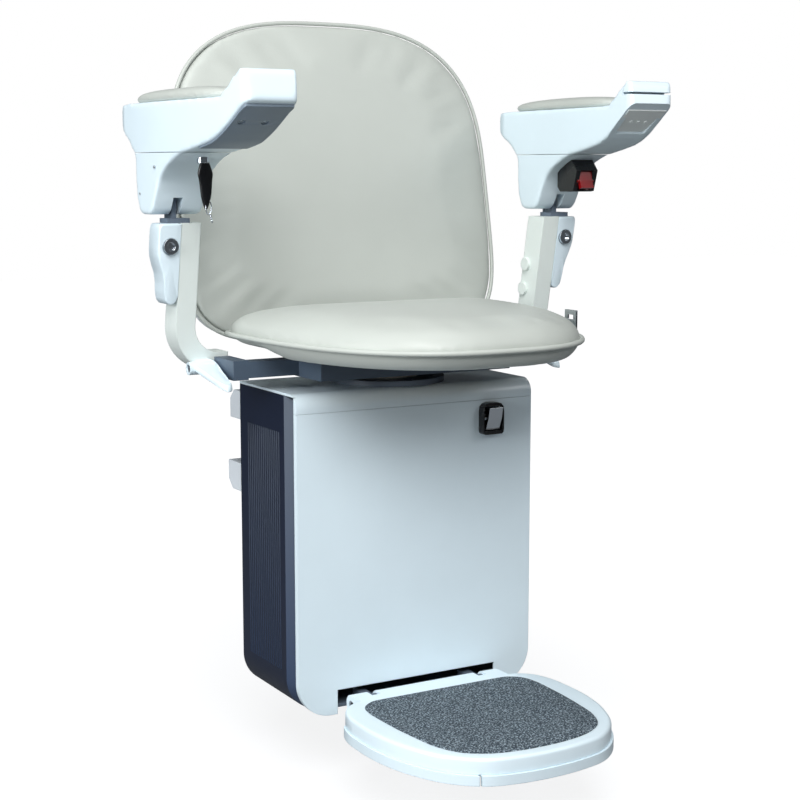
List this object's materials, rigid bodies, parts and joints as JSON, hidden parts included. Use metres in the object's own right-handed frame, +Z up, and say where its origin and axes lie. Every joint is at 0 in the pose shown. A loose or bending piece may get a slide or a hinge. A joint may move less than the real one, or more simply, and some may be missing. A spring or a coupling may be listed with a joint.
{
  "type": "stairlift chair",
  "caption": "Stairlift chair: padded swivel seat with folding arms, backrest and folding footrest on a powered carriage that rides along a stair rail.",
  "frame": {"origin": "middle of the wear pad's rear face, at the height of the rail's centre", "axes": "+Y towards the rail and wall, so the person faces -Y; +Z up; +X to the right when looking along +Y"},
  "size_m": [0.62, 0.5882, 0.869],
  "materials": {
    "white_shell": "smooth moulded plastic, satin gloss",
    "navy_panel": "fine-textured dark plastic with moulded ribs",
    "steel_body": "painted sheet steel",
    "cream_paint": "smooth cream-white powder coat",
    "grey_paint": "light grey paint",
    "machine_steel": "ground steel",
    "chrome_trim": "bright chrome",
    "black_plastic": "smooth black plastic",
    "roller_rubber": "hard rubber tread",
    "bearing_plastic": "natural nylon",
    "motor_cast": "cast casing, painted",
    "board_green": "circuit board with solder mask",
    "battery_case": "matt battery case",
    "upholstery": "fine-grained vinyl, soft sheen",
    "board_wood": "plywood",
    "back_shell": "moulded plastic, fine texture",
    "mat_rubber": "ribbed dark slate mat",
    "grey_plate": "blue-grey plastic",
    "pod_grey": "mid-grey plastic",
    "rocker_red": "red plastic",
    "frame_steel": "dark blue-grey powder coat"
  },
  "bodies": {
    "carriage": {"chassis": "steel_body", "top_cap": "white_shell", "front_cover": "white_shell", "side_panel_left": "navy_panel", "side_panel_right": "navy_panel", "roller_brackets": "grey_paint", "roller_axles": "machine_steel", "wear_pad": "black_plastic", "drive_motor": "motor_cast", "gearbox": "motor_cast", "batteries": "battery_case", "control_board": "board_green", "isolator_bezel": "black_plastic", "footrest_rod": "machine_steel", "swivel_spindle": "machine_steel", "index_plate": "steel_body", "swivel_bearing": "bearing_plastic"},
    "roller_a": {"roller_upper_left": "roller_rubber"},
    "roller_b": {"roller_upper_right": "roller_rubber"},
    "roller_c": {"roller_lower_left": "roller_rubber"},
    "roller_d": {"roller_lower_right": "roller_rubber"},
    "pinion": {"drive_pinion": "machine_steel"},
    "isolator": {"isolator_rocker": "chrome_trim"},
    "footrest": {"footrest_plate": "white_shell", "footrest_mat": "mat_rubber"},
    "skirt_l": {"skirt_left": "white_shell"},
    "skirt_f": {"skirt_front": "white_shell"},
    "skirt_r": {"skirt_right": "white_shell"},
    "seat_base": {"seat_frame": "frame_steel", "seat_hinge_pin": "machine_steel", "arm_frame": "cream_paint", "upright_caps": "cream_paint", "hinge_covers": "white_shell", "hinge_bolts": "chrome_trim", "arm_pivot_brackets": "steel_body", "arm_pivot_pins": "machine_steel", "backrest_bracket": "frame_steel", "backrest_shell": "back_shell", "backrest_cushion": "upholstery", "lock_spring": "machine_steel"},
    "levers": {"lever_rod": "machine_steel", "swivel_lever_left": "white_shell", "swivel_lever_right": "white_shell"},
    "lock": {"lock_pin": "machine_steel"},
    "seat": {"seat_board": "board_wood", "seat_cushion": "upholstery", "belt_anchor": "chrome_trim"},
    "arm_left": {"arm_housing_left": "white_shell", "arm_shell_left": "white_shell", "arm_pad_left": "upholstery", "nose_plate": "grey_plate", "key_barrel": "chrome_trim"},
    "key_turn": {"key": "black_plastic"},
    "arm_right": {"arm_housing_right": "white_shell", "arm_shell_right": "white_shell", "arm_pad_right": "upholstery", "control_pod": "pod_grey", "rocker_box": "black_plastic"},
    "toggle": {"direction_toggle": "white_shell"},
    "rocker": {"rocker_switch": "rocker_red"}
  },
  "joints": [
    {"name": "seat_swivel", "type": "hinge", "parent": "carriage", "child": "seat_base", "pos_m": [0, -0.0865, 0.096], "axis": [0, 0, 1], "range_deg": [-90, 90]},
    {"name": "lever_pull", "type": "hinge", "parent": "seat_base", "child": "levers", "pos_m": [0, -0.058, 0.108], "axis": [-1, 0, 0], "range_deg": [0, 12], "stiffness_Nm_per_rad": 1.5, "springref_deg": -8.59},
    {"name": "lock_slide", "type": "slide", "parent": "seat_base", "child": "lock", "axis": [0, 0, 1], "range_m": [0, 0.0059], "deforming": ["lock_spring"]},
    {"name": "seat_fold", "type": "hinge", "parent": "seat_base", "child": "seat", "pos_m": [0, -0.049, 0.144], "axis": [-1, 0, 0], "range_deg": [0, 85]},
    {"name": "arm_fold_left", "type": "hinge", "parent": "seat_base", "child": "arm_left", "pos_m": [-0.278, -0.05, 0.33], "axis": [-1, 0, 0], "range_deg": [0, 90]},
    {"name": "arm_fold_right", "type": "hinge", "parent": "seat_base", "child": "arm_right", "pos_m": [0.278, -0.05, 0.33], "axis": [-1, 0, 0], "range_deg": [0, 90]},
    {"name": "key_turn", "type": "hinge", "parent": "arm_left", "child": "key_turn", "pos_m": [-0.268, -0.12766, 0.3567], "axis": [0, 0, 1], "range_deg": [0, 90]},
    {"name": "toggle_tilt", "type": "hinge", "parent": "arm_right", "child": "toggle", "pos_m": [0.25819, -0.28364, 0.433], "axis": [0, 1, 0], "range_deg": [-4, 4], "stiffness_Nm_per_rad": 1},
    {"name": "rocker_tilt", "type": "hinge", "parent": "arm_right", "child": "rocker", "pos_m": [0.2745, -0.13511, 0.33442], "axis": [1, 0, 0], "range_deg": [-3.3, 3.3]},
    {"name": "isolator_tilt", "type": "hinge", "parent": "carriage", "child": "isolator", "pos_m": [0.105, -0.174, 0.0345], "axis": [-1, 0, 0], "range_deg": [0, 14]},
    {"name": "footrest_fold", "type": "hinge", "parent": "carriage", "child": "footrest", "pos_m": [0, -0.188, -0.3065], "axis": [-1, 0, 0], "range_deg": [0, 90]},
    {"name": "skirt_left_press", "type": "slide", "parent": "footrest", "child": "skirt_l", "axis": [1, 0, 0], "range_m": [0, 0.002], "stiffness_N_per_m": 400, "springref_m": -0.002},
    {"name": "skirt_front_press", "type": "slide", "parent": "footrest", "child": "skirt_f", "axis": [0, 1, 0], "range_m": [0, 0.002], "stiffness_N_per_m": 400, "springref_m": -0.002},
    {"name": "skirt_right_press", "type": "slide", "parent": "footrest", "child": "skirt_r", "axis": [-1, 0, 0], "range_m": [0, 0.002], "stiffness_N_per_m": 400, "springref_m": -0.002},
    {"name": "roller_a_spin", "type": "hinge", "parent": "carriage", "child": "roller_a", "pos_m": [-0.14, 0.016, 0.042], "axis": [0, 1, 0], "continuous": true},
    {"name": "roller_b_spin", "type": "hinge", "parent": "carriage", "child": "roller_b", "pos_m": [0.14, 0.016, 0.042], "axis": [0, 1, 0], "continuous": true},
    {"name": "roller_c_spin", "type": "hinge", "parent": "carriage", "child": "roller_c", "pos_m": [-0.14, 0.016, -0.042], "axis": [0, 1, 0], "continuous": true},
    {"name": "roller_d_spin", "type": "hinge", "parent": "carriage", "child": "roller_d", "pos_m": [0.14, 0.016, -0.042], "axis": [0, 1, 0], "continuous": true},
    {"name": "pinion_spin", "type": "hinge", "parent": "carriage", "child": "pinion", "pos_m": [0, 0.012, -0.061], "axis": [0, 1, 0], "continuous": true}
  ],
  "couplings": [
    {"joint": "lever_pull", "follows": "lock_slide", "rad_per_m": 35.088}
  ]
}
